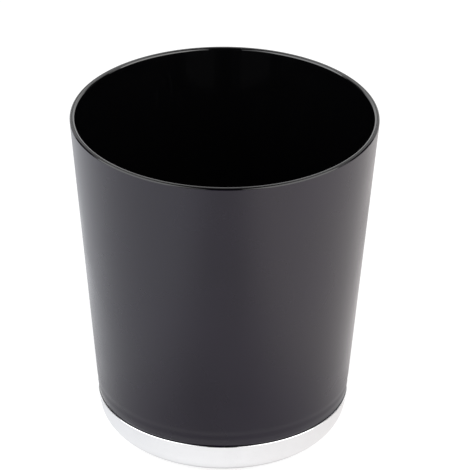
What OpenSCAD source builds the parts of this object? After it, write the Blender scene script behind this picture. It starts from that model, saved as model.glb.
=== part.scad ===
// Tabletop cutlery holder: a double-walled tapered cup on a polished base, standing on a rubber ring.
// Millimetres, +Z up, origin on the table at the centre of the foot.

/* [Cup] */
// Outside diameter of the flank at the rim
rim_d = 124; // [112:1:150]
// Outside diameter that the flank would reach at table level
foot_d = 98.8; // [92:0.2:112]
// Height from the table to the rim
height = 140; // [110:1:180]

/* [Outer sleeve] */
// Wall of the sleeve at the rim
sleeve_rim_wall = 1.05; // [0.8:0.05:1.6]
// Wall of the sleeve at its lower edge
sleeve_wall = 1.8; // [1.4:0.1:2.6]
// Rounding of the sleeve's top outside edge
rim_round = 0.85; // [0.2:0.05:0.9]
// Height of the shadow line's valley above the seam
line_h = 5; // [4:0.2:12]
// Width of the shadow line
line_w = 3.8; // [2:0.2:6]
// Depth of the shadow line
line_depth = 0.15; // [0.1:0.05:0.4]
// How far the band below the shadow line draws in at the seam
band_in = 0.2; // [0:0.05:0.6]
// Rounding of the band's lower outside edge
band_round = 0.3; // [0.2:0.1:0.6]

/* [Inner liner] */
// Wall of the liner at the rim
liner_rim_wall = 0.9; // [0.8:0.05:1.4]
// Wall of the liner at its floor
liner_wall = 1.6; // [1.2:0.1:2.4]
// Rounding of the liner's top inside edge
mouth_round = 0.75; // [0.1:0.05:1]
// Height over which the two walls lie face to face below the rim
weld_h = 6; // [3:0.5:15]
// Height of the well's floor above the table
well_floor_h = 16; // [13:0.5:30]
// Thickness of the well's floor
liner_floor = 2; // [1.4:0.1:3]
// Rounding between the well's wall and floor
corner_r = 8; // [3:0.5:16]
// Air gap between the two walls at the liner's floor
air_gap = 2; // [1:0.1:4]

/* [Base dish] */
// Height of the dish's lip above the table
base_h = 16.5; // [14:0.05:20]
// How far the lip stands proud of the flank line
base_proud = 0.5; // [0:0.05:0.8]
// How much the dish's radius narrows from its lip to its foot, before the foot is rounded
base_in = 3.2; // [1:0.1:4.5]
// Rounding of the dish's foot
foot_round = 12.5; // [8:0.5:14]
// Rounding between the dish's inner wall and its floor
dish_round = 6; // [4:0.5:8]
// Thickness of the lip around the sleeve's spigot
lip_wall = 2.2; // [1.8:0.1:2.6]
// Depth of the pocket that takes the spigot
lip_h = 4; // [3:0.2:5]
// Rounding of the lip's top outside edge
lip_round = 0.35; // [0.2:0.05:0.7]
// Open line between the lip and the sleeve's band
seam_gap = 0.15; // [0.1:0.05:0.6]
// Thickness of the dish's floor
base_floor = 1.8; // [1.4:0.1:3]
// Width of the land between the foot's groove and the hollow underside
land_w = 1.4; // [1:0.1:3]

/* [Foot ring] */
// Width of the rubber ring
ring_w = 5; // [3:0.2:8]
// Thickness of the rubber ring
ring_t = 2.2; // [1.6:0.1:3]
// How far the ring stands out under the dish
ring_stand = 0.3; // [0.2:0.1:1]
// Distance from the edge of the dish's flat foot to the ring
ring_inset = 1.4; // [1:0.1:4]
// Bevel of the ring's lower edges
ring_bevel = 0.3; // [0.1:0.1:0.6]

/* [Screws] */
// Number of screws through the base
screw_count = 3; // [3:1:6]
// Width of the land between a screw's counterbore and the edge of the hollow underside
screw_land = 1.4; // [1:0.1:8]
// Diameter over the thread
screw_d = 3; // [2.5:0.1:3.5]
// Diameter of the thread's core
core_d = 2.4; // [1.8:0.1:2.8]
// Diameter of the screw's head
head_d = 5.6; // [4.8:0.1:7]
// Height of the screw's head
head_h = 1.9; // [1.4:0.1:2.4]
// How deep the head sits above the hollow underside
head_sink = 0.3; // [0.1:0.1:1]
// Width of the blades of the cross recess
drive_w = 0.8; // [0.5:0.1:1]
// Span of the cross recess
drive_l = 3; // [2:0.1:3.6]
// Depth of the cross recess
drive_h = 1; // [0.6:0.1:1.2]
// Thickness of the dish under the head's seat
seat_t = 1.8; // [1.2:0.1:3]
// Wall of the raised cup around a screw's head
seat_wall = 1.8; // [1.2:0.1:3]
// Diameter of the bosses under the liner
boss_d = 7.4; // [6:0.2:10]
// Room above a screw's tip, below the liner's floor
tip_room = 0.8; // [0.4:0.1:2]

/* [Fits] */
// Radial gap between pieces that slip into each other
slip_gap = 0.15; // [0.05:0.05:0.3]
// Gap of the seam between the two walls at the rim
rim_gap = 0.1; // [0.05:0.05:0.2]
// Radial gap around a screw's core in its boss
core_gap = 0.05; // [0.02:0.01:0.1]
// Radial gap around a screw in the dish
hole_gap = 0.2; // [0.1:0.05:0.4]

/* [Hidden] */
$fn = 160;
arc_steps = 12;
// Overshoot that lets a cut pass cleanly through a face
cut = 1;

charcoal = "#39373c";
gloss_black = "#0b0b0d";
chrome = "#dfe1e5";
zinc = "#8d9096";
rubber = "#26262a";

// Points of an arc about c, from angle a0 to angle a1
function arc(c, r, a0, a1) =
    [for (i = [0:arc_steps]) let (a = a0 + (a1 - a0) * i / arc_steps) c + r * [cos(a), sin(a)]];
// Radius at height z on the straight line through two profile points
function on_line(p, q, z) = p[0] + (q[0] - p[0]) * (z - p[1]) / (q[1] - p[1]);
// Lean of that line from the vertical, positive where the upper end q is wider
function lean(p, q) = atan((q[0] - p[0]) / (q[1] - p[1]));
// Centre at level c_z of a rounding of radius r that touches that line from inside, towards the axis
function inside_line(p, q, r, c_z) = [on_line(p, q, c_z) - r / cos(lean(p, q)), c_z];
// The same for a rounding that touches the line from outside
function outside_line(p, q, r, c_z) = [on_line(p, q, c_z) + r / cos(lean(p, q)), c_z];
// Radius of the cup's outer flank
function flank_r(z) = on_line([foot_d / 2, 0], [rim_d / 2, height], z);

// Levels, from the table up
foot_z = ring_stand;
hollow_z = ring_t;
floor_z = hollow_z + base_floor;
seat_z = hollow_z + head_sink + head_h;
boss_z = seat_z + seat_t;
ledge_z = base_h - lip_h;
seam_z = base_h + seam_gap;
line_z = seam_z + line_h;
liner_z = well_floor_h - liner_floor;
weld_z = height - weld_h;
tip_z = liner_z - tip_room;

// Radii of the base and the spigot that stands in it
lip_r = flank_r(base_h) + base_proud;
pocket_r = lip_r - lip_wall;
spigot_r = pocket_r - slip_gap;
bore_r = spigot_r - sleeve_wall;

// Corners of the sleeve's inner face
sleeve_low = [bore_r, seam_z];
sleeve_mid = [flank_r(line_z) - sleeve_wall, line_z];
sleeve_top = [rim_d / 2 - sleeve_rim_wall, height];

// Corners of the liner, where its floor's two faces would meet its walls unrounded
liner_out_low = [bore_r - air_gap, liner_z];
liner_in_low = [bore_r - air_gap - liner_wall, well_floor_h];
liner_out_weld = [on_line(sleeve_mid, sleeve_top, weld_z) - rim_gap, weld_z];
liner_out_top = [sleeve_top[0] - rim_gap, height];
liner_in_top = [liner_out_top[0] - liner_rim_wall, height];

// Side of the dish, and its foot and ring
side_low = [lip_r - base_in, foot_z];
side_top = [lip_r, base_h];
foot_c = inside_line(side_low, side_top, foot_round, foot_z + foot_round);
ring_r = foot_c[0] - ring_inset;
groove_r = ring_r + slip_gap;
groove_in = ring_r - ring_w - slip_gap;
hollow_r = groove_in - land_w;

head_room = head_d / 2 + slip_gap;
screw_r = hollow_r - screw_land - head_room;

// Roundings that a thin wall or a low one limits
top_round = min(rim_round, sleeve_rim_wall - rim_gap);
mouth_r = min(mouth_round, liner_rim_wall - rim_gap);
dish_r = min(dish_round, ledge_z - floor_z);

// Places its children at each screw
module at_screws() {
    for (i = [0:screw_count - 1])
        rotate(i * 360 / screw_count) translate([screw_r, 0, 0]) children();
}

// Upright cylinder from level z0 to level z1
module post(r, z0, z1) {
    translate([0, 0, z0]) cylinder(r = r, h = z1 - z0);
}

// Tapered outer wall: rounded top edge, shadow line above the seam, spigot that stands in the base
module outer_sleeve() {
    line_low = [flank_r(line_z - line_w / 2), line_z - line_w / 2];
    line_mid = [flank_r(line_z) - line_depth, line_z];
    flank_low = [flank_r(line_z + line_w / 2), line_z + line_w / 2];
    flank_top = [rim_d / 2, height];
    top_c = inside_line(flank_low, flank_top, top_round, height - top_round);
    band_low = [flank_r(seam_z) - band_in, seam_z];
    band_c = inside_line(band_low, line_low, band_round, seam_z + band_round);
    profile = concat(
        [[bore_r, ledge_z], [spigot_r, ledge_z], [spigot_r, seam_z]],
        arc(band_c, band_round, -90, -lean(band_low, line_low)),
        [line_low, line_mid, flank_low],
        arc(top_c, top_round, -lean(flank_low, flank_top), 90),
        [sleeve_top, sleeve_mid, sleeve_low]
    );
    color(charcoal) rotate_extrude() polygon(profile);
}

// Inner cup: thin edge welded to the sleeve at the rim, steeper wall, rounded floor, bosses below
module inner_liner() {
    wall_lean = lean(liner_in_low, liner_in_top);
    outer_r = corner_r + liner_wall;
    well_c = inside_line(liner_in_low, liner_in_top, corner_r, well_floor_h + corner_r);
    under_c = inside_line(liner_out_low, liner_out_weld, outer_r, liner_z + outer_r);
    mouth_c = outside_line(liner_in_low, liner_in_top, mouth_r, height - mouth_r);
    profile = concat(
        [[0, liner_z]],
        arc(under_c, outer_r, -90, -lean(liner_out_low, liner_out_weld)),
        [liner_out_weld, liner_out_top],
        arc(mouth_c, mouth_r, 90, 180 - wall_lean),
        arc(well_c, corner_r, -wall_lean, -90),
        [[0, well_floor_h]]
    );
    color(gloss_black) difference() {
        union() {
            rotate_extrude() polygon(profile);
            at_screws() post(boss_d / 2, boss_z, liner_z + liner_floor / 2);
        }
        at_screws() post(core_d / 2 + core_gap, boss_z - cut, liner_z);
    }
}

// Polished dish: lip and ledge for the spigot, rounded foot with a groove, hollow underside, screw seats
module base_dish() {
    lip_c = inside_line(side_low, side_top, lip_round, base_h - lip_round);
    dish_c = [bore_r - dish_r, floor_z + dish_r];
    profile = concat(
        [[0, hollow_z], [hollow_r, hollow_z], [hollow_r, foot_z], [groove_in, foot_z], [groove_in, hollow_z]],
        [[groove_r, hollow_z], [groove_r, foot_z]],
        arc(foot_c, foot_round, -90, -lean(side_low, side_top)),
        arc(lip_c, lip_round, -lean(side_low, side_top), 90),
        [[pocket_r, base_h], [pocket_r, ledge_z], [bore_r, ledge_z]],
        arc(dish_c, dish_r, 0, -90),
        [[0, floor_z]]
    );
    color(chrome) difference() {
        union() {
            rotate_extrude() polygon(profile);
            at_screws() post(head_room + seat_wall, hollow_z + base_floor / 2, boss_z);
        }
        at_screws() post(head_room, hollow_z - cut, seat_z);
        at_screws() post(screw_d / 2 + hole_gap, seat_z - cut, boss_z + cut);
    }
}

// One pan-head screw on its own axis: domed head with a cross recess, plain shank, core and point
module screw() {
    head_z = seat_z - head_h;
    dome = head_h / 2;
    profile = concat(
        [[0, head_z]],
        arc([head_d / 2 - dome, head_z + dome], dome, -90, 0),
        [[head_d / 2, seat_z], [screw_d / 2, seat_z], [screw_d / 2, boss_z], [core_d / 2, boss_z]],
        [[core_d / 2, tip_z - core_d / 2], [0, tip_z]]
    );
    difference() {
        rotate_extrude($fn = 48) polygon(profile);
        for (turn = [0, 90])
            rotate(turn) translate([-drive_l / 2, -drive_w / 2, head_z - cut])
                cube([drive_l, drive_w, drive_h + cut]);
    }
}

// The screws that hold the base, the sleeve and the liner together
module base_screws() {
    color(zinc) at_screws() screw();
}

// Flat rubber ring in the dish's groove, standing just proud of the foot
module foot_ring() {
    ring_in = ring_r - ring_w;
    profile = [
        [ring_in + ring_bevel, 0], [ring_r - ring_bevel, 0], [ring_r, ring_bevel],
        [ring_r, ring_t], [ring_in, ring_t], [ring_in, ring_bevel]
    ];
    color(rubber) rotate_extrude() polygon(profile);
}

outer_sleeve();
inner_liner();
base_dish();
base_screws();
foot_ring();
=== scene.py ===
"""Looks of a tabletop cutlery holder: charcoal sleeve, gloss black liner, polished base, rubber foot.

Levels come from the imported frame. Radii and walls follow the driving sizes of the solids, in metres.
In names, r is a radius, z a level, h a height, t a thickness and w a width, and soft is how far a
rounding reaches along each side of its corner.
"""

import logging
import math
from dataclasses import dataclass, field
from enum import Enum, IntEnum
from typing import ClassVar, Sequence

import bmesh
import bpy
from mathutils import Matrix, Vector


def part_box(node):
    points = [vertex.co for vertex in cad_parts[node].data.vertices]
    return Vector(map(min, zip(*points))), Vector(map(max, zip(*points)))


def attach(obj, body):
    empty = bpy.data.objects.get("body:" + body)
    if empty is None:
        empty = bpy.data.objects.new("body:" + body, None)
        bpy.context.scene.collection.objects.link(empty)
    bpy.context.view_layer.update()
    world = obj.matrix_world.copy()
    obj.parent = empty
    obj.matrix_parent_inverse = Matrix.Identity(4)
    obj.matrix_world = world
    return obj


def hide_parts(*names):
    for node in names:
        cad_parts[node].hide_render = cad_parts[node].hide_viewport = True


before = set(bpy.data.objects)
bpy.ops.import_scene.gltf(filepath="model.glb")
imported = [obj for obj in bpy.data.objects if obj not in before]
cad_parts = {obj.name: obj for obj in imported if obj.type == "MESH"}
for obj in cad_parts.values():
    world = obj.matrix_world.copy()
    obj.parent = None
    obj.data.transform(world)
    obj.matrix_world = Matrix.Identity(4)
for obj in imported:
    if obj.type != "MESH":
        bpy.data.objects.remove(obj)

Colour = tuple[float, float, float]
Point = tuple[float, float, float]
Span = tuple[float, float]
Socket = bpy.types.NodeSocket
Setting = Socket | float | Sequence[float]

MM = 0.001
SHARP_DEG = 35.0
ORIGIN: Point = (0.0, 0.0, 0.0)
UP: Point = (0.0, 0.0, 1.0)
EVEN: Point = (1.0, 1.0, 1.0)
WHITE: Colour = (1.0, 1.0, 1.0)
UNIT: Span = (0.0, 1.0)
FALLING: Span = (1.0, 0.0)
LOG = logging.getLogger("cutlery_holder")


class Slot(Enum):
    """Material slots of the record, one for each finish."""

    SLEEVE = "sleeve_charcoal"
    LINER = "liner_black"
    BASE = "base_chrome"
    SCREW = "screw_steel"
    FOOT = "foot_rubber"


class Carve(Enum):
    """Ways in which one mesh changes another."""

    CUT = "DIFFERENCE"
    JOIN = "UNION"


class Facets(IntEnum):
    """Steps across a rounded corner, by how much of it shows."""

    HIDDEN = 2
    SLIGHT = 3
    PLAIN = 5
    CLEAR = 8
    FINE = 14


def opaque(colour: Colour) -> tuple[float, float, float, float]:
    """Gives a colour with full cover, as colour sockets take it."""
    return (*colour, 1.0)


@dataclass(frozen=True)
class Speckle:
    """One noise over a piece: features per metre, octaves, and a factor on each axis for streaks."""

    scale: float
    detail: float
    stretch: Point = EVEN


class NodeBoard:
    """Node tree of a material or of the surroundings, with short ways to add and join its nodes."""

    def __init__(self, tree: bpy.types.NodeTree) -> None:
        """Takes over a tree and empties it."""
        self.tree = tree
        self.tree.nodes.clear()

    def add(
        self, kind: str, settings: dict[str, Setting] | None = None, **attributes: str
    ) -> bpy.types.Node:
        """Adds a node.

        Args:
            kind: Blender's class name of the node.
            settings: Values or sockets by input name.
            **attributes: Attributes of the node itself.

        Returns:
            The new node.
        """
        node = self.tree.nodes.new(kind)
        for name, value in attributes.items():
            setattr(node, name, value)
        for name, value in (settings or {}).items():
            self.feed(node.inputs[name], value)
        return node

    def feed(self, socket: Socket, value: Setting) -> None:
        """Sets an input to a value, or links a socket to it.

        Args:
            socket: Input to set.
            value: Plain value, or the socket that drives it.
        """
        if isinstance(value, Socket):
            self.tree.links.new(value, socket)
        else:
            socket.default_value = value

    def point(self, stretch: Point = EVEN) -> Socket:
        """Gives the piece's Object coordinates, with a factor on each axis."""
        place = self.add("ShaderNodeTexCoord").outputs["Object"]
        return self.add("ShaderNodeMapping", {"Vector": place, "Scale": stretch}).outputs["Vector"]

    def noise(self, speckle: Speckle) -> Socket:
        """Gives a noise value over the piece, about 0.5 on average."""
        settings = {"Vector": self.point(speckle.stretch), "Scale": speckle.scale, "Detail": speckle.detail}
        return self.add("ShaderNodeTexNoise", settings).outputs["Fac"]

    def remap(self, value: Socket, old: Span, new: Span = UNIT) -> Socket:
        """Maps a value smoothly from one range to another, clamped.

        Args:
            value: Socket to read.
            old: Range of the input.
            new: Range of the result.

        Returns:
            The mapped value socket.
        """
        settings = {
            "Value": value,
            "From Min": old[0], "From Max": old[1],
            "To Min": new[0], "To Max": new[1],
        }
        return self.add("ShaderNodeMapRange", settings, interpolation_type="SMOOTHSTEP").outputs["Result"]

    def above(self, low: float, high: float) -> Socket:
        """Gives 0 below one level of the piece and 1 above another, in metres."""
        axes = self.add("ShaderNodeSeparateXYZ", {"Vector": self.point()})
        return self.remap(axes.outputs["Z"], (low, high))

    def maths(self, operation: str, first: Setting, second: Setting) -> Socket:
        """Joins two values by one arithmetic operation.

        Args:
            operation: Blender's name of the operation.
            first: Socket or number.
            second: Socket or number.

        Returns:
            The result socket.
        """
        node = self.add("ShaderNodeMath", operation=operation)
        self.feed(node.inputs[0], first)
        self.feed(node.inputs[1], second)
        return node.outputs["Value"]

    def mix(self, mask: Socket, low: Setting, high: Setting) -> Socket:
        """Blends two values by a mask: the first where it is 0, the second where it is 1."""
        settings = {"Factor": mask, "A": low, "B": high}
        return self.add("ShaderNodeMix", settings, data_type="FLOAT").outputs["Result"]

    def blend(self, mask: Socket, low: Socket, high: Colour) -> Socket:
        """Blends a colour socket into a plain colour by a mask.

        Args:
            mask: Socket from 0 to 1.
            low: Colour socket where the mask is 0.
            high: Colour where the mask is 1.

        Returns:
            The blended colour socket.
        """
        node = self.add("ShaderNodeMix", {"Factor": mask}, data_type="RGBA")
        ends = {socket.identifier: socket for socket in (*node.inputs, *node.outputs)}
        self.feed(ends["A_Color"], low)
        self.feed(ends["B_Color"], opaque(high))
        return ends["Result_Color"]

    def ramp(self, value: Socket, low: Colour, high: Colour) -> Socket:
        """Colours a value from one colour to another.

        Args:
            value: Socket from 0 to 1.
            low: Colour at 0.
            high: Colour at 1.

        Returns:
            The colour socket.
        """
        node = self.add("ShaderNodeValToRGB", {"Fac": value})
        for stop, colour in zip(node.color_ramp.elements, (low, high)):
            stop.color = opaque(colour)
        return node.outputs["Color"]

    def bump(self, height: Socket, depth: float) -> Socket:
        """Turns a height from 0 to 1 into a bumped normal, with bumps of a depth in metres."""
        settings = {"Height": height, "Distance": depth, "Strength": 1.0}
        return self.add("ShaderNodeBump", settings).outputs["Normal"]


class MaterialBoard(NodeBoard):
    """Node tree of one new material."""

    def __init__(self, name: str) -> None:
        """Starts a material with an empty tree.

        Args:
            name: Name of the new material.
        """
        self.material = bpy.data.materials.new(name)
        self.material.use_nodes = True
        super().__init__(self.material.node_tree)

    def principled(self, settings: dict[str, Setting]) -> bpy.types.Material:
        """Ends the tree in one Principled surface, with values or sockets by input name."""
        shader = self.add("ShaderNodeBsdfPrincipled", settings)
        return self.surface(shader.outputs["BSDF"])

    def surface(self, shader: Socket) -> bpy.types.Material:
        """Ends the tree in a given shader and gives the finished material."""
        self.add("ShaderNodeOutputMaterial", {"Surface": shader})
        return self.material


@dataclass(frozen=True)
class SatinPlastic:
    """Moulded plastic with a fine matt skin, polished along its top edge, with painted shade there."""

    dark: Colour = (0.0050, 0.0026, 0.0095)
    light: Colour = (0.0062, 0.0034, 0.0115)
    # The top edge's colour is painted shade, darker than the skin so the rim's dark reflections read black.
    polished: Colour = (0.0016, 0.0014, 0.0020)
    roughness: Span = (0.24, 0.31)
    edge_roughness: float = 0.06
    matt_below: float = 0.75 * MM
    polished_and_shaded_above: float = 0.5 * MM
    cloud: Speckle = Speckle(26.0, 4.0)
    cloud_span: Span = (0.3, 0.7)
    grain: Speckle = Speckle(3200.0, 2.0)
    grain_depth: float = 0.006 * MM

    def material(self, top_z: float) -> bpy.types.Material:
        """Builds the material: cloudy tone and roughness, moulded grain, a polished edge with painted
        shade.

        Args:
            top_z: Level of the top edge, which the polished strip is measured down from.

        Returns:
            The material.
        """
        board = MaterialBoard("satin_charcoal")
        # The edge mask marks the polished strip, which also carries the painted shade.
        edge = board.above(top_z - self.matt_below, top_z - self.polished_and_shaded_above)
        cloud = board.remap(board.noise(self.cloud), self.cloud_span)
        matt = board.remap(cloud, UNIT, self.roughness)
        grain = board.maths("MULTIPLY", board.noise(self.grain), board.maths("SUBTRACT", 1.0, edge))
        return board.principled({
            "Base Color": board.blend(edge, board.ramp(cloud, self.dark, self.light), self.polished),
            "Roughness": board.mix(edge, matt, self.edge_roughness),
            "Normal": board.bump(grain, self.grain_depth),
        })


@dataclass(frozen=True)
class PolishedPlastic:
    """Lacquered black plastic, faintly scuffed along its height by what stands in it."""

    colour: Colour = (0.0016, 0.0016, 0.0019)
    worn: Colour = (0.0030, 0.0030, 0.0034)
    roughness: Span = (0.05, 0.16)
    streak: Speckle = Speckle(700.0, 2.0, (1.0, 1.0, 0.03))
    streak_span: Span = (0.55, 0.75)
    patch: Speckle = Speckle(34.0, 3.0)
    patch_span: Span = (0.45, 0.7)
    scuff_depth: float = 0.003 * MM
    lacquer: float = 0.75
    lacquer_roughness: float = 0.04

    def material(self) -> bpy.types.Material:
        """Builds the material: mirror black with patches of fine upright scuffs.

        Returns:
            The material.
        """
        board = MaterialBoard("polished_black")
        streak = board.remap(board.noise(self.streak), self.streak_span)
        patch = board.remap(board.noise(self.patch), self.patch_span)
        scuff = board.maths("MULTIPLY", streak, patch)
        return board.principled({
            "Base Color": board.ramp(scuff, self.colour, self.worn),
            "Roughness": board.remap(scuff, UNIT, self.roughness),
            "Normal": board.bump(scuff, self.scuff_depth),
            "Coat Weight": self.lacquer,
            "Coat Roughness": self.lacquer_roughness,
        })


@dataclass(frozen=True)
class PolishedChrome:
    """Bright plated metal with a trace of haze where hands lift it."""

    colour: Colour = (0.95, 0.955, 0.96)
    hazed: Colour = (0.92, 0.925, 0.93)
    roughness: Span = (0.03, 0.09)
    haze: Speckle = Speckle(45.0, 5.0)
    haze_span: Span = (0.45, 0.75)
    ripple: Speckle = Speckle(90.0, 1.0)
    ripple_depth: float = 0.01 * MM

    def material(self) -> bpy.types.Material:
        """Builds the material: mirror metal with soft haze and a slight ripple.

        Returns:
            The material.
        """
        board = MaterialBoard("polished_chrome")
        haze = board.remap(board.noise(self.haze), self.haze_span)
        return board.principled({
            "Base Color": board.ramp(haze, self.colour, self.hazed),
            "Metallic": 1.0,
            "Roughness": board.remap(haze, UNIT, self.roughness),
            "Normal": board.bump(board.noise(self.ripple), self.ripple_depth),
        })


@dataclass(frozen=True)
class PlatedSteel:
    """Zinc-plated screw steel, dull and slightly mottled."""

    colour: Colour = (0.50, 0.51, 0.53)
    mottled: Colour = (0.36, 0.36, 0.36)
    roughness: Span = (0.28, 0.45)
    mottle: Speckle = Speckle(900.0, 4.0)
    mottle_span: Span = (0.35, 0.65)
    grain_depth: float = 0.01 * MM

    def material(self) -> bpy.types.Material:
        """Builds the material: grey metal with mottled shade and grain.

        Returns:
            The material.
        """
        board = MaterialBoard("plated_steel")
        mottle = board.remap(board.noise(self.mottle), self.mottle_span)
        return board.principled({
            "Base Color": board.ramp(mottle, self.colour, self.mottled),
            "Metallic": 1.0,
            "Roughness": board.remap(mottle, UNIT, self.roughness),
            "Normal": board.bump(mottle, self.grain_depth),
        })


@dataclass(frozen=True)
class MattRubber:
    """Soft black rubber with a chalky bloom."""

    colour: Colour = (0.016, 0.016, 0.017)
    bloomed: Colour = (0.035, 0.035, 0.037)
    roughness: Span = (0.72, 0.9)
    bloom: Speckle = Speckle(160.0, 5.0)
    bloom_span: Span = (0.4, 0.7)
    grain: Speckle = Speckle(2400.0, 2.0)
    grain_depth: float = 0.03 * MM

    def material(self) -> bpy.types.Material:
        """Builds the material: matt black with bloom and a fine pebbled grain.

        Returns:
            The material.
        """
        board = MaterialBoard("matt_rubber")
        bloom = board.remap(board.noise(self.bloom), self.bloom_span)
        return board.principled({
            "Base Color": board.ramp(bloom, self.colour, self.bloomed),
            "Roughness": board.remap(bloom, UNIT, self.roughness),
            "Normal": board.bump(board.noise(self.grain), self.grain_depth),
        })


@dataclass(frozen=True)
class Corner:
    """One corner of a turned profile, and how far along its two sides it is rounded."""

    r: float
    z: float
    soft: float = 0.0
    segments: int = Facets.PLAIN


@dataclass(frozen=True)
class Lathe:
    """Turns profiles about the cup's axis, as closed bmesh shells."""

    steps: int = 256
    merge: float = 1e-7
    ring_tolerance: float = 1e-6

    def turn(self, corners: Sequence[Corner]) -> bmesh.types.BMesh:
        """Turns one profile and rounds its corners.

        Args:
            corners: Profile in order, closed on itself, or along the axis if it starts and ends there.

        Returns:
            A closed shell with its faces pointing outwards.
        """
        shell = bmesh.new()
        points = [shell.verts.new((corner.r, 0.0, corner.z)) for corner in corners]
        sides = [shell.edges.new(pair) for pair in zip(points, points[1:])]
        if corners[0].r > 0.0 or corners[-1].r > 0.0:
            sides.append(shell.edges.new((points[-1], points[0])))
        bmesh.ops.spin(
            shell, geom=points + sides, cent=ORIGIN, axis=UP,
            angle=math.tau, steps=self.steps, use_merge=True,
        )
        bmesh.ops.remove_doubles(shell, verts=shell.verts, dist=self.merge)
        bmesh.ops.recalc_face_normals(shell, faces=shell.faces)
        for corner in corners:
            if corner.soft > 0.0:
                self.soften(shell, corner)
        return shell

    def soften(self, shell: bmesh.types.BMesh, corner: Corner) -> None:
        """Rounds the ring of edges that a corner has turned into.

        Args:
            shell: Turned shell.
            corner: Corner to round.
        """
        ring = [edge for edge in shell.edges if all(self.on_ring(vert, corner) for vert in edge.verts)]
        bmesh.ops.bevel(
            shell, geom=ring, offset=corner.soft, offset_type="OFFSET", segments=corner.segments,
            profile=0.5, affect="EDGES", material=-1,
        )

    def on_ring(self, vert: bmesh.types.BMVert, corner: Corner) -> bool:
        """Says whether a vertex lies on the circle of a corner."""
        off_radius = abs(math.hypot(vert.co.x, vert.co.y) - corner.r)
        return off_radius < self.ring_tolerance and abs(vert.co.z - corner.z) < self.ring_tolerance


def on_line(low: Corner, high: Corner, z: float) -> float:
    """Gives the radius at a level on the straight line through two corners."""
    return low.r + (high.r - low.r) * (z - low.z) / (high.z - low.z)


def floor_corner(low: Corner, high: Corner, radius: float, segments: int) -> Corner:
    """Rounds the corner between a level floor and a wall that leans up to another corner, by a radius."""
    turn = math.pi / 2 - math.atan2(high.r - low.r, high.z - low.z)
    return Corner(low.r, low.z, radius * math.tan(turn / 2), segments)


def as_object(name: str, shell: bmesh.types.BMesh) -> bpy.types.Object:
    """Puts a bmesh into the scene as a smooth object at the origin.

    Args:
        name: Name of the object and its mesh.
        shell: Mesh to take; it is freed.

    Returns:
        The new object.
    """
    mesh = bpy.data.meshes.new(name)
    shell.to_mesh(mesh)
    shell.free()
    mesh.shade_smooth()
    made = bpy.data.objects.new(name, mesh)
    bpy.context.scene.collection.objects.link(made)
    return made


def joined(shells: Sequence[bmesh.types.BMesh]) -> bmesh.types.BMesh:
    """Gathers several shells in one bmesh.

    Args:
        shells: Shells to gather; all but the first are freed.

    Returns:
        The first shell, holding all of them.
    """
    first, *others = shells
    for other in others:
        carried = bpy.data.meshes.new("carried")
        other.to_mesh(carried)
        other.free()
        first.from_mesh(carried)
        bpy.data.meshes.remove(carried)
    return first


def carve(body: bpy.types.Object, tool: bpy.types.Object, way: Carve) -> None:
    """Cuts a tool out of a body or joins it on, and removes the tool.

    Args:
        body: Object whose mesh changes.
        tool: Object that is used up.
        way: Whether to cut or to join.
    """
    step = body.modifiers.new(way.name.lower(), "BOOLEAN")
    step.object = tool
    step.operation = way.value
    step.solver = "EXACT"
    graph = bpy.context.evaluated_depsgraph_get()
    changed = bpy.data.meshes.new_from_object(body.evaluated_get(graph))
    if not changed.polygons:
        raise RuntimeError(f"{body.name}: nothing left after {way.name}")
    body.modifiers.clear()
    body.data = changed
    bpy.data.objects.remove(tool)


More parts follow.
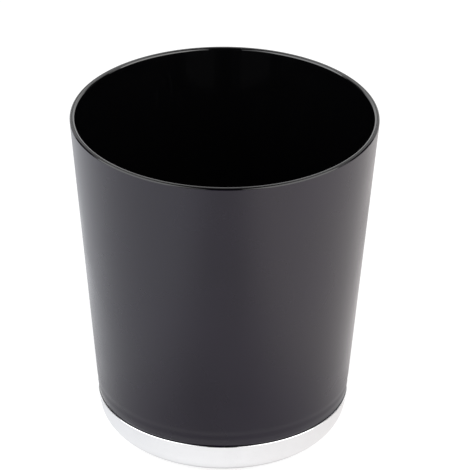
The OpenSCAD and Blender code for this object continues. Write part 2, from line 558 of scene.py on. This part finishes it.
@dataclass
class CupLines:
    """Driving lines that the pieces share: levels from the frame, radii from the solids' sizes."""

    rim_r: float = 61.96 * MM
    foot_r: float = 49.38 * MM
    base_proud: float = 0.5 * MM
    lip_wall: float = 2.2 * MM
    slip: float = 0.15 * MM
    sleeve_wall: float = 1.8 * MM
    sleeve_rim_wall: float = 1.05 * MM
    air_gap: float = 2.0 * MM
    seam_gap: float = 0.15 * MM
    line_h: float = 5.0 * MM
    ring_w: float = 5.0 * MM
    head_r: float = 2.8 * MM
    screw_count: int = 3
    rim_z: float = field(init=False)
    lip_z: float = field(init=False)
    foot_z: float = field(init=False)
    ledge_z: float = field(init=False)
    boss_z: float = field(init=False)
    hollow_z: float = field(init=False)
    head_z: float = field(init=False)
    tip_z: float = field(init=False)
    ring_r: float = field(init=False)
    screw_r: float = field(init=False)

    def __post_init__(self) -> None:
        """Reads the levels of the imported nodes, and the places of the ring and the screws."""
        self.ledge_z, self.rim_z = (corner.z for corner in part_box("outer_sleeve"))
        self.foot_z, self.lip_z = (corner.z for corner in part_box("base_dish"))
        self.head_z, self.tip_z = (corner.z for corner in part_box("base_screws"))
        self.boss_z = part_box("inner_liner")[0].z
        self.hollow_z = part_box("foot_ring")[1].z
        self.ring_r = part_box("foot_ring")[1].x
        self.screw_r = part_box("base_screws")[1].x - self.head_r

    def flank(self, z: float) -> float:
        """Gives the radius of the cup's outer flank at a level."""
        return self.foot_r + (self.rim_r - self.foot_r) * z / self.rim_z

    @property
    def lip_r(self) -> float:
        """Outer radius of the base's lip."""
        return self.flank(self.lip_z) + self.base_proud

    @property
    def pocket_r(self) -> float:
        """Radius of the pocket behind the lip."""
        return self.lip_r - self.lip_wall

    @property
    def spigot_r(self) -> float:
        """Outer radius of the sleeve's spigot."""
        return self.pocket_r - self.slip

    @property
    def bore_r(self) -> float:
        """Inner radius of the spigot and of the base below it."""
        return self.spigot_r - self.sleeve_wall

    @property
    def sleeve_top_r(self) -> float:
        """Inner radius of the sleeve at the rim."""
        return self.rim_r - self.sleeve_rim_wall

    @property
    def seam_z(self) -> float:
        """Level of the sleeve's lower edge, just above the lip."""
        return self.lip_z + self.seam_gap

    @property
    def line_z(self) -> float:
        """Level of the shadow line."""
        return self.seam_z + self.line_h

    @property
    def sleeve_mid(self) -> Corner:
        """Corner of the sleeve's inner face behind the shadow line."""
        return Corner(self.flank(self.line_z) - self.sleeve_wall, self.line_z)

    def at_screws(self, shell: bmesh.types.BMesh) -> bmesh.types.BMesh:
        """Repeats a shell that stands on the axis at every screw.

        Args:
            shell: Shell to repeat; it is freed.

        Returns:
            One bmesh with all the copies.
        """
        copies = []
        for index in range(self.screw_count):
            copy = shell.copy()
            turn = Matrix.Rotation(math.tau * index / self.screw_count, 4, "Z")
            place = turn @ Matrix.Translation((self.screw_r, 0.0, 0.0))
            bmesh.ops.transform(copy, matrix=place, verts=copy.verts)
            copies.append(copy)
        shell.free()
        return joined(copies)


@dataclass
class Piece:
    """One piece of the holder: what it stands for and how it is dressed."""

    node: ClassVar[str]
    slot: ClassVar[Slot]

    lines: CupLines
    lathe: Lathe = Lathe()
    small_lathe: Lathe = Lathe(steps=64)

    def dress(self, made: bpy.types.Object, material: bpy.types.Material) -> bpy.types.Object:
        """Gives a finished mesh its material and its place in the frame.

        Args:
            made: Object that stands for the piece's node.
            material: Material for the whole piece.

        Returns:
            The same object.
        """
        made.data.materials.clear()
        made.data.materials.append(material)
        made.data.set_sharp_from_angle(angle=math.radians(SHARP_DEG))
        even = made.modifiers.new("even_normals", "WEIGHTED_NORMAL")
        even.keep_sharp = True
        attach(made, "root")
        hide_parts(self.node)
        LOG.info("%s: %d faces, slot %s", made.name, len(made.data.polygons), self.slot.value)
        return made


@dataclass
class OuterSleeve(Piece):
    """Tapered outer wall with a rounded rim, a shadow line and a spigot that stands in the base."""

    node = "outer_sleeve"
    slot = Slot.SLEEVE

    rim_soft: float = 0.92 * MM
    edge_soft: float = 0.1 * MM
    line_half: float = 1.9 * MM
    line_depth: float = 0.15 * MM
    line_soft: float = 0.6 * MM
    band_in: float = 0.2 * MM
    band_soft: float = 0.28 * MM
    finish: SatinPlastic = SatinPlastic()

    def build(self) -> bpy.types.Object:
        """Turns the sleeve and dresses it.

        Returns:
            The sleeve's object.
        """
        lines = self.lines
        seam_z, line_z = lines.seam_z, lines.line_z
        low_z, high_z = line_z - self.line_half, line_z + self.line_half
        shell = self.lathe.turn([
            Corner(lines.bore_r, lines.ledge_z, self.edge_soft, Facets.HIDDEN),
            Corner(lines.spigot_r, lines.ledge_z, self.edge_soft, Facets.HIDDEN),
            Corner(lines.spigot_r, seam_z),
            Corner(lines.flank(seam_z) - self.band_in, seam_z, self.band_soft),
            Corner(lines.flank(low_z), low_z, self.line_soft, Facets.SLIGHT),
            Corner(lines.flank(line_z) - self.line_depth, line_z, self.line_soft, Facets.SLIGHT),
            Corner(lines.flank(high_z), high_z, self.line_soft, Facets.SLIGHT),
            Corner(lines.rim_r, lines.rim_z, self.rim_soft, Facets.FINE),
            Corner(lines.sleeve_top_r, lines.rim_z, self.edge_soft, Facets.SLIGHT),
            lines.sleeve_mid,
            Corner(lines.bore_r, seam_z),
        ])
        return self.dress(as_object("outer_sleeve_skin", shell), self.finish.material(lines.rim_z))


@dataclass
class InnerLiner(Piece):
    """Inner cup with a thin edge at the rim, a rounded floor and bosses for the screws."""

    node = "inner_liner"
    slot = Slot.LINER

    rim_gap: float = 0.1 * MM
    rim_wall: float = 0.9 * MM
    wall: float = 1.6 * MM
    weld_h: float = 6.0 * MM
    floor_t: float = 2.0 * MM
    well_floor_z: float = 16.0 * MM
    corner_r: float = 8.0 * MM
    mouth_soft: float = 0.79 * MM
    mouth_segments: int = 12
    seam_soft: float = 0.09 * MM
    boss_r: float = 3.7 * MM
    pilot_r: float = 1.25 * MM
    boss_soft: float = 0.25 * MM
    finish: PolishedPlastic = PolishedPlastic()

    def build(self) -> bpy.types.Object:
        """Turns the cup, joins its bosses and dresses it.

        Returns:
            The liner's object.
        """
        lines = self.lines
        under_z = self.well_floor_z - self.floor_t
        weld_z = lines.rim_z - self.weld_h
        sleeve_top = Corner(lines.sleeve_top_r, lines.rim_z)
        weld_r = on_line(lines.sleeve_mid, sleeve_top, weld_z) - self.rim_gap
        top_r = sleeve_top.r - self.rim_gap
        low_r = lines.bore_r - lines.air_gap
        weld = Corner(weld_r, weld_z, self.seam_soft, Facets.HIDDEN)
        mouth = Corner(top_r - self.rim_wall, lines.rim_z, self.mouth_soft, self.mouth_segments)
        under = Corner(low_r, under_z)
        floor = Corner(low_r - self.wall, self.well_floor_z)
        shell = self.lathe.turn([
            Corner(0.0, under_z),
            floor_corner(under, weld, self.corner_r + self.wall, Facets.FINE),
            weld,
            Corner(top_r, lines.rim_z, self.seam_soft, Facets.SLIGHT),
            mouth,
            floor_corner(floor, mouth, self.corner_r, Facets.FINE),
            Corner(0.0, self.well_floor_z),
        ])
        cup = as_object("inner_liner_cup", shell)
        carve(cup, as_object("bosses", lines.at_screws(self.boss(under_z))), Carve.JOIN)
        return self.dress(cup, self.finish.material())

    def boss(self, under_z: float) -> bmesh.types.BMesh:
        """Turns one boss on the axis, open for the screw and let halfway into the floor.

        Args:
            under_z: Level of the floor's underside.

        Returns:
            The boss's shell.
        """
        top_z = under_z + self.floor_t / 2
        return self.small_lathe.turn([
            Corner(0.0, under_z),
            Corner(self.pilot_r, under_z),
            Corner(self.pilot_r, self.lines.boss_z),
            Corner(self.boss_r, self.lines.boss_z, self.boss_soft, Facets.SLIGHT),
            Corner(self.boss_r, top_z),
            Corner(0.0, top_z),
        ])


@dataclass
class BaseDish(Piece):
    """Polished dish with a lip around the spigot, a rounded grooved foot and seats for the screws."""

    node = "base_dish"
    slot = Slot.BASE

    narrowing: float = 3.2 * MM
    foot_round: float = 12.5 * MM
    foot_segments: int = 24
    dish_round: float = 6.0 * MM
    dish_segments: int = 12
    lip_soft: float = 0.35 * MM
    lip_segments: int = 6
    edge_soft: float = 0.2 * MM
    floor_t: float = 1.8 * MM
    land_w: float = 1.4 * MM
    seat_wall: float = 1.8 * MM
    seat_t: float = 1.8 * MM
    hole_r: float = 1.7 * MM
    mouth_bevel: float = 0.3 * MM
    overcut: float = 1.0 * MM
    finish: PolishedChrome = PolishedChrome()

    @property
    def floor_z(self) -> float:
        """Level of the dish's floor inside."""
        return self.lines.hollow_z + self.floor_t

    def build(self) -> bpy.types.Object:
        """Turns the dish, adds the screw seats, cuts their bores and dresses it.

        Returns:
            The dish's object.
        """
        lines = self.lines
        dish = as_object("base_dish_shell", self.shell())
        room_r = lines.head_r + lines.slip
        sunk_z = self.floor_z - self.floor_t / 2
        seat_z = lines.boss_z - self.seat_t
        below_hollow = lines.hollow_z - self.overcut
        below_seat, above_boss = seat_z - self.overcut, lines.boss_z + self.overcut
        carve(dish, self.posts("seats", room_r + self.seat_wall, sunk_z, lines.boss_z), Carve.JOIN)
        carve(dish, self.posts("head_bores", room_r, below_hollow, seat_z, self.mouth_bevel), Carve.CUT)
        carve(dish, self.posts("shank_bores", self.hole_r, below_seat, above_boss), Carve.CUT)
        return self.dress(dish, self.finish.material())

    def shell(self) -> bmesh.types.BMesh:
        """Turns the dish without its screw seats.

        Returns:
            The dish's shell.
        """
        lines = self.lines
        groove_r = lines.ring_r + lines.slip
        groove_in = lines.ring_r - lines.ring_w - lines.slip
        hollow_r = groove_in - self.land_w
        foot = Corner(lines.lip_r - self.narrowing, lines.foot_z)
        lip = Corner(lines.lip_r, lines.lip_z, self.lip_soft, self.lip_segments)
        return self.lathe.turn([
            Corner(0.0, lines.hollow_z),
            Corner(hollow_r, lines.hollow_z, self.edge_soft, Facets.SLIGHT),
            Corner(hollow_r, lines.foot_z, self.edge_soft, Facets.SLIGHT),
            Corner(groove_in, lines.foot_z, self.edge_soft, Facets.SLIGHT),
            Corner(groove_in, lines.hollow_z),
            Corner(groove_r, lines.hollow_z),
            Corner(groove_r, lines.foot_z, self.edge_soft, Facets.SLIGHT),
            floor_corner(foot, lip, self.foot_round, self.foot_segments),
            lip,
            Corner(lines.pocket_r, lines.lip_z, self.edge_soft, Facets.SLIGHT),
            Corner(lines.pocket_r, lines.ledge_z),
            Corner(lines.bore_r, lines.ledge_z, self.edge_soft, Facets.SLIGHT),
            Corner(lines.bore_r, self.floor_z, self.dish_round, self.dish_segments),
            Corner(0.0, self.floor_z),
        ])

    def posts(self, name: str, r: float, low: float, high: float, flare: float = 0.0) -> bpy.types.Object:
        """Turns an upright post at every screw.

        Args:
            name: Name of the object.
            r: Radius of the post.
            low: Level of its lower end.
            high: Level of its upper end.
            flare: Bevel that widens the post where it leaves the hollow underside.

        Returns:
            One object with all the posts.
        """
        corners = [Corner(0.0, low), Corner(r + flare, low)]
        if flare > 0.0:
            corners += [Corner(r + flare, self.lines.hollow_z), Corner(r, self.lines.hollow_z + flare)]
        corners += [Corner(r, high), Corner(0.0, high)]
        return as_object(name, self.lines.at_screws(self.small_lathe.turn(corners)))


@dataclass
class BaseScrews(Piece):
    """Pan-head screws with a cross recess, a plain shank and a threaded core."""

    node = "base_screws"
    slot = Slot.SCREW

    head_h: float = 1.9 * MM
    dome: float = 0.95 * MM
    edge_soft: float = 0.1 * MM
    shank_r: float = 1.5 * MM
    core_r: float = 1.2 * MM
    drive_w: float = 0.8 * MM
    drive_l: float = 3.0 * MM
    drive_h: float = 1.0 * MM
    drive_draw: float = 0.72
    pitch: float = 1.1 * MM
    thread_half: float = 0.28 * MM
    thread_sink: float = 0.1 * MM
    thread_steps: int = 40
    finish: PlatedSteel = PlatedSteel()

    def build(self) -> bpy.types.Object:
        """Makes one screw, repeats it and dresses the group.

        Returns:
            The object of all the screws.
        """
        body = as_object("screw_body", self.body())
        for turn in (0.0, math.pi / 2):
            carve(body, as_object("drive_blade", self.blade(turn)), Carve.CUT)
        single = bmesh.new()
        single.from_mesh(body.data)
        bpy.data.objects.remove(body)
        screw = joined([single, self.thread()])
        screws = as_object("base_screws_group", self.lines.at_screws(screw))
        return self.dress(screws, self.finish.material())

    def body(self) -> bmesh.types.BMesh:
        """Turns the head, shank, core and point on the axis.

        Returns:
            The screw's shell, without recess and thread.
        """
        lines = self.lines
        seat_z = lines.head_z + self.head_h
        return self.small_lathe.turn([
            Corner(0.0, lines.head_z),
            Corner(lines.head_r, lines.head_z, self.dome, Facets.CLEAR),
            Corner(lines.head_r, seat_z, self.edge_soft, Facets.HIDDEN),
            Corner(self.shank_r, seat_z),
            Corner(self.shank_r, lines.boss_z, self.edge_soft, Facets.HIDDEN),
            Corner(self.core_r, lines.boss_z),
            Corner(self.core_r, lines.tip_z - self.core_r),
            Corner(0.0, lines.tip_z),
        ])

    def blade(self, turn: float) -> bmesh.types.BMesh:
        """Makes one tapered blade of the cross that cuts the drive recess, half of it in the head.

        Args:
            turn: Angle of the blade about the screw's axis, in radians.

        Returns:
            The blade's shell.
        """
        blade = bmesh.new()
        bmesh.ops.create_cube(blade, size=1.0)
        bmesh.ops.scale(blade, vec=(self.drive_l, self.drive_w, 2 * self.drive_h), verts=blade.verts)
        inner = [vert for vert in blade.verts if vert.co.z > 0.0]
        bmesh.ops.scale(blade, vec=(self.drive_draw, self.drive_draw, 1.0), verts=inner)
        place = Matrix.Translation((0.0, 0.0, self.lines.head_z)) @ Matrix.Rotation(turn, 4, "Z")
        bmesh.ops.transform(blade, matrix=place, verts=blade.verts)
        return blade

    def thread(self) -> bmesh.types.BMesh:
        """Spins one ridge up the core as a helix, closed at both ends.

        Returns:
            The ridge's shell.
        """
        low = self.lines.boss_z + 2 * self.thread_half
        turns = (self.lines.tip_z - self.core_r - low - self.thread_half) / self.pitch
        root_r = self.core_r - self.thread_sink
        section = [(root_r, -self.thread_half), (self.shank_r, 0.0), (root_r, self.thread_half)]
        ridge = bmesh.new()
        points = [ridge.verts.new((r, 0.0, low + rise)) for r, rise in section]
        start = ridge.faces.new(points)
        bmesh.ops.spin(
            ridge, geom=[start, *start.edges, *points], cent=ORIGIN, axis=UP,
            dvec=(0.0, 0.0, self.pitch / self.thread_steps), angle=math.tau * turns,
            steps=round(turns * self.thread_steps), use_merge=False,
        )
        bmesh.ops.recalc_face_normals(ridge, faces=ridge.faces)
        return ridge


@dataclass
class FootRing(Piece):
    """Flat rubber ring under the base, with softened edges."""

    node = "foot_ring"
    slot = Slot.FOOT

    low_soft: float = 0.3 * MM
    high_soft: float = 0.1 * MM
    finish: MattRubber = MattRubber()

    def build(self) -> bpy.types.Object:
        """Turns the ring and dresses it.

        Returns:
            The ring's object.
        """
        low, high = (corner.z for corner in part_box(self.node))
        outer_r = self.lines.ring_r
        inner_r = outer_r - self.lines.ring_w
        shell = self.lathe.turn([
            Corner(inner_r, low, self.low_soft, Facets.SLIGHT),
            Corner(outer_r, low, self.low_soft, Facets.SLIGHT),
            Corner(outer_r, high, self.high_soft, Facets.HIDDEN),
            Corner(inner_r, high, self.high_soft, Facets.HIDDEN),
        ])
        return self.dress(as_object("foot_ring_rubber", shell), self.finish.material())


@dataclass(frozen=True)
class SoftBox:
    """One soft lamp that faces the cup."""

    name: str
    place: Point
    width: float
    height: float
    watts: float
    colour: Colour = WHITE
    aim: Point = (0.0, 0.0, 0.07)

    def hang(self) -> bpy.types.Object:
        """Puts the lamp in the scene.

        Returns:
            The lamp's object.
        """
        lamp = bpy.data.lights.new(self.name, "AREA")
        lamp.shape = "RECTANGLE"
        lamp.size, lamp.size_y = self.width, self.height
        lamp.energy = self.watts
        lamp.color = self.colour
        hung = bpy.data.objects.new(self.name, lamp)
        hung.location = self.place
        hung.rotation_euler = (Vector(self.aim) - Vector(self.place)).to_track_quat("-Z", "Y").to_euler()
        bpy.context.scene.collection.objects.link(hung)
        return hung


@dataclass(frozen=True)
class DarkFlag:
    """One dark sheet beside the cup that only the polished edges mirror: a painted dark reflection.

    Its profile is a line of distances from the cup's axis and levels, swept across its bearing.
    """

    name: str
    bearing_deg: float
    half_width: float
    profile: tuple[Span, ...]
    colour: Colour = (0.01, 0.01, 0.01)

    def hang(self) -> bpy.types.Object:
        """Puts the sheet in the scene.

        Returns:
            The sheet's object, unseen by the camera and casting no shadow.
        """
        sheet = bmesh.new()
        points = [sheet.verts.new((away, -self.half_width, level)) for away, level in self.profile]
        sides = [sheet.edges.new(pair) for pair in zip(points, points[1:])]
        swept = bmesh.ops.extrude_edge_only(sheet, edges=sides)
        moved = [item for item in swept["geom"] if isinstance(item, bmesh.types.BMVert)]
        bmesh.ops.translate(sheet, vec=(0.0, 2 * self.half_width, 0.0), verts=moved)
        turn = Matrix.Rotation(math.radians(self.bearing_deg), 4, "Z")
        bmesh.ops.transform(sheet, matrix=turn, verts=sheet.verts)
        made = as_object(self.name, sheet)
        board = MaterialBoard(self.name)
        black = board.add("ShaderNodeBsdfDiffuse", {"Color": opaque(self.colour)})
        made.data.materials.append(board.surface(black.outputs["BSDF"]))
        made.visible_camera = False
        made.visible_diffuse = False
        made.visible_shadow = False
        return made


FRONT_SHEET = ((-0.6, 1.3), (1.6, 1.3), (1.9, 0.9), (1.9, 0.003), (0.5, 0.003))
SIDE_SHEET = ((0.45, 0.003), (1.2, 0.003), (1.2, 0.75))


@dataclass(frozen=True)
class Studio:
    """White floor and surroundings, soft lamps, and dark flags that the polished edges mirror.

    A glow is how bright the floor looks, and a pair of glows runs from before the cup to behind it. A
    band is the stretch of floor over which one glow turns into another: across the picture, along the
    line of sight or around the cup's axis.
    """

    floor_half: float = 3.0
    floor_colour: Colour = (0.86, 0.86, 0.86)
    floor_share: Colour = (0.35, 0.35, 0.35)
    # In mirrors these glows are painted light and shade: a shadow before the cup and around its foot.
    camera_glow: float = 0.78
    left_glow: Span = (0.88, 1.0)
    right_glow: Span = (1.0, 0.85)
    front_glow: float = 0.45
    near_glow: Span = (0.84, 1.0)
    near_front_glow: float = 0.28
    foot_glow: float = 0.55
    contact_glow: float = 0.3
    # Cool and warm are painted tints of lamp light on the floor that mirrors see.
    cool: Colour = (0.93, 0.955, 1.0)
    warm: Colour = (1.0, 0.945, 0.93)
    tint_band: Span = (-0.14, 0.14)
    across_band: Span = (-0.12, 0.12)
    along_band: Span = (-0.06, 0.12)
    front_band: Span = (0.02, 0.12)
    near_band: Span = (0.085, 0.15)
    foot_band: Span = (0.067, 0.078)
    contact_band: Span = (0.041, 0.046)
    fill: float = 0.4
    flags: tuple[DarkFlag, ...] = (
        DarkFlag("front_flag", bearing_deg=-90.0, half_width=0.42, profile=FRONT_SHEET),
        DarkFlag("left_flag", bearing_deg=154.0, half_width=0.27, profile=SIDE_SHEET),
        DarkFlag("right_flag", bearing_deg=23.0, half_width=0.34, profile=SIDE_SHEET),
    )
    lamps: tuple[SoftBox, ...] = (
        SoftBox(
            "left_box", place=(-0.88, -0.36, 0.58), width=1.3, height=1.2,
            watts=10.6, colour=(0.97, 0.985, 1.0),
        ),
        SoftBox(
            "right_box", place=(0.78, -0.52, 0.58), width=1.2, height=1.2,
            watts=10.4, colour=(1.0, 0.985, 0.97),
        ),
        SoftBox("back_box", place=(-0.15, 1.5, 0.75), width=1.8, height=0.9, watts=1.2),
    )

    def build(self) -> None:
        """Makes the floor, the flags, the surroundings and the lamps."""
        self.floor()
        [flag.hang() for flag in self.flags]
        self.surroundings()
        for lamp in self.lamps:
            hung = lamp.hang()
            LOG.info("lamp %s: %.1f W", hung.name, lamp.watts)

    def seen(self, board: NodeBoard) -> Socket:
        """Gives 1 for rays from the camera, from mirrors and through glass, and 0 for others.

        Args:
            board: Board to add the nodes to.

        Returns:
            The mask socket.
        """
        rays = board.add("ShaderNodeLightPath").outputs
        mirrored = board.maths("MAXIMUM", rays["Is Glossy Ray"], rays["Is Transmission Ray"])
        return board.maths("MAXIMUM", rays["Is Camera Ray"], mirrored)

    def floor(self) -> bpy.types.Object:
        """Makes the floor: white where it is seen, with the cup's shadow kept.

        Returns:
            The floor's object.
        """
        sheet = bmesh.new()
        bmesh.ops.create_grid(sheet, x_segments=1, y_segments=1, size=self.floor_half)
        made = as_object("floor", sheet)
        board = MaterialBoard("floor_white")
        plain = board.add("ShaderNodeBsdfDiffuse", {"Color": opaque(self.floor_colour)})
        shaded = board.add("ShaderNodeBsdfDiffuse", {"Color": opaque(self.floor_share)})
        light = {"Color": self.tint(board), "Strength": self.strength(board)}
        glow = board.add("ShaderNodeEmission", light)
        white = board.add("ShaderNodeAddShader")
        board.feed(white.inputs[0], shaded.outputs["BSDF"])
        board.feed(white.inputs[1], glow.outputs["Emission"])
        both = board.add("ShaderNodeMixShader", {"Fac": self.seen(board)})
        board.feed(both.inputs[1], plain.outputs["BSDF"])
        board.feed(both.inputs[2], white.outputs["Shader"])
        made.data.materials.append(board.surface(both.outputs["Shader"]))
        return made

    def tint(self, board: NodeBoard) -> Socket:
        """Gives the glow's colour: white for the camera, in mirrors a painted tint, cool at left and warm
        at right.

        Args:
            board: Board of the floor's material.

        Returns:
            The colour socket.
        """
        across = board.add("ShaderNodeSeparateXYZ", {"Vector": board.point()}).outputs["X"]
        mirrored = board.ramp(board.remap(across, self.tint_band), self.cool, self.warm)
        return board.blend(board.add("ShaderNodeLightPath").outputs["Is Camera Ray"], mirrored, WHITE)

    def strength(self, board: NodeBoard) -> Socket:
        """Gives the floor's glow: even for the camera, and in mirrors dimmer before and close to the cup.
        In mirrors this paints light and shade on the floor: the cup's shadow before it, a ring at its foot
        and a contact shadow under it.

        Args:
            board: Board of the floor's material.

        Returns:
            The strength socket, at most 1.
        """
        spot = board.point()
        axes = board.add("ShaderNodeSeparateXYZ", {"Vector": spot})
        across, along = axes.outputs["X"], axes.outputs["Y"]
        away = board.add("ShaderNodeVectorMath", {"Vector": spot}, operation="LENGTH").outputs["Value"]
        behind = board.remap(along, self.along_band)
        right = board.remap(across, self.across_band)
        sides = board.mix(right, board.mix(behind, *self.left_glow), board.mix(behind, *self.right_glow))
        centred = board.remap(board.maths("ABSOLUTE", across, 0.0), self.front_band, FALLING)
        dip = board.maths("MULTIPLY", centred, board.maths("SUBTRACT", 1.0, behind))
        open_floor = board.mix(dip, sides, self.front_glow)
        near = board.mix(dip, board.mix(behind, *self.near_glow), self.near_front_glow)
        under = board.mix(board.remap(away, self.contact_band), self.contact_glow, self.foot_glow)
        ringed = board.mix(board.remap(away, self.foot_band), under, near)
        mirrored = board.mix(board.remap(away, self.near_band), ringed, open_floor)
        path = board.add("ShaderNodeLightPath")
        return board.mix(path.outputs["Is Camera Ray"], mirrored, self.camera_glow)

    def surroundings(self) -> None:
        """Makes the world: white where it is seen, a plain fill for the rest."""
        world = bpy.data.worlds.new("white_room")
        world.use_nodes = True
        board = NodeBoard(world.node_tree)
        strength = board.mix(self.seen(board), self.fill, 1.0)
        back = board.add("ShaderNodeBackground", {"Color": opaque(WHITE), "Strength": strength})
        board.add("ShaderNodeOutputWorld", {"Surface": back.outputs["Background"]})
        bpy.context.scene.world = world
        bpy.context.scene.view_settings.view_transform = "Standard"


@dataclass(frozen=True)
class PhotoCamera:
    """Camera at the photograph's viewing angle, fitted to the rim, the flanks and the base's seam."""

    focal_px: float = 5000.0
    image_px: float = 470.0
    sensor_mm: float = 36.0
    distance: float = 1770.294 * MM
    height: float = 1059.697 * MM
    pitch_deg: float = 28.8195
    yaw_deg: float = 0.1462
    roll_deg: float = 0.4674

    def place(self) -> bpy.types.Object:
        """Puts the camera in the scene.

        Returns:
            The camera's object.
        """
        lens = bpy.data.cameras.new("photo_camera")
        lens.sensor_fit = "AUTO"
        lens.sensor_width = self.sensor_mm
        lens.lens = self.focal_px * self.sensor_mm / self.image_px
        held = bpy.data.objects.new("photo_camera", lens)
        yaw = Matrix.Rotation(-math.radians(self.yaw_deg), 4, "Z")
        tilt = Matrix.Rotation(math.radians(90.0 - self.pitch_deg), 4, "X")
        roll = Matrix.Rotation(math.radians(self.roll_deg), 4, "Z")
        held.matrix_world = Matrix.Translation((0.0, -self.distance, self.height)) @ yaw @ tilt @ roll
        bpy.context.scene.collection.objects.link(held)
        bpy.context.scene.camera = held
        return held


def main() -> None:
    """Builds the stage and every piece of the holder, in order."""
    logging.basicConfig(level=logging.INFO, format="%(name)s: %(message)s")
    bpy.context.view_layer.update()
    PhotoCamera().place()
    Studio().build()
    lines = CupLines()
    for kind in (OuterSleeve, InnerLiner, BaseDish, BaseScrews, FootRing):
        made = kind(lines).build()
        LOG.info("made %s", made.name)


if __name__ == "__main__":
    main()
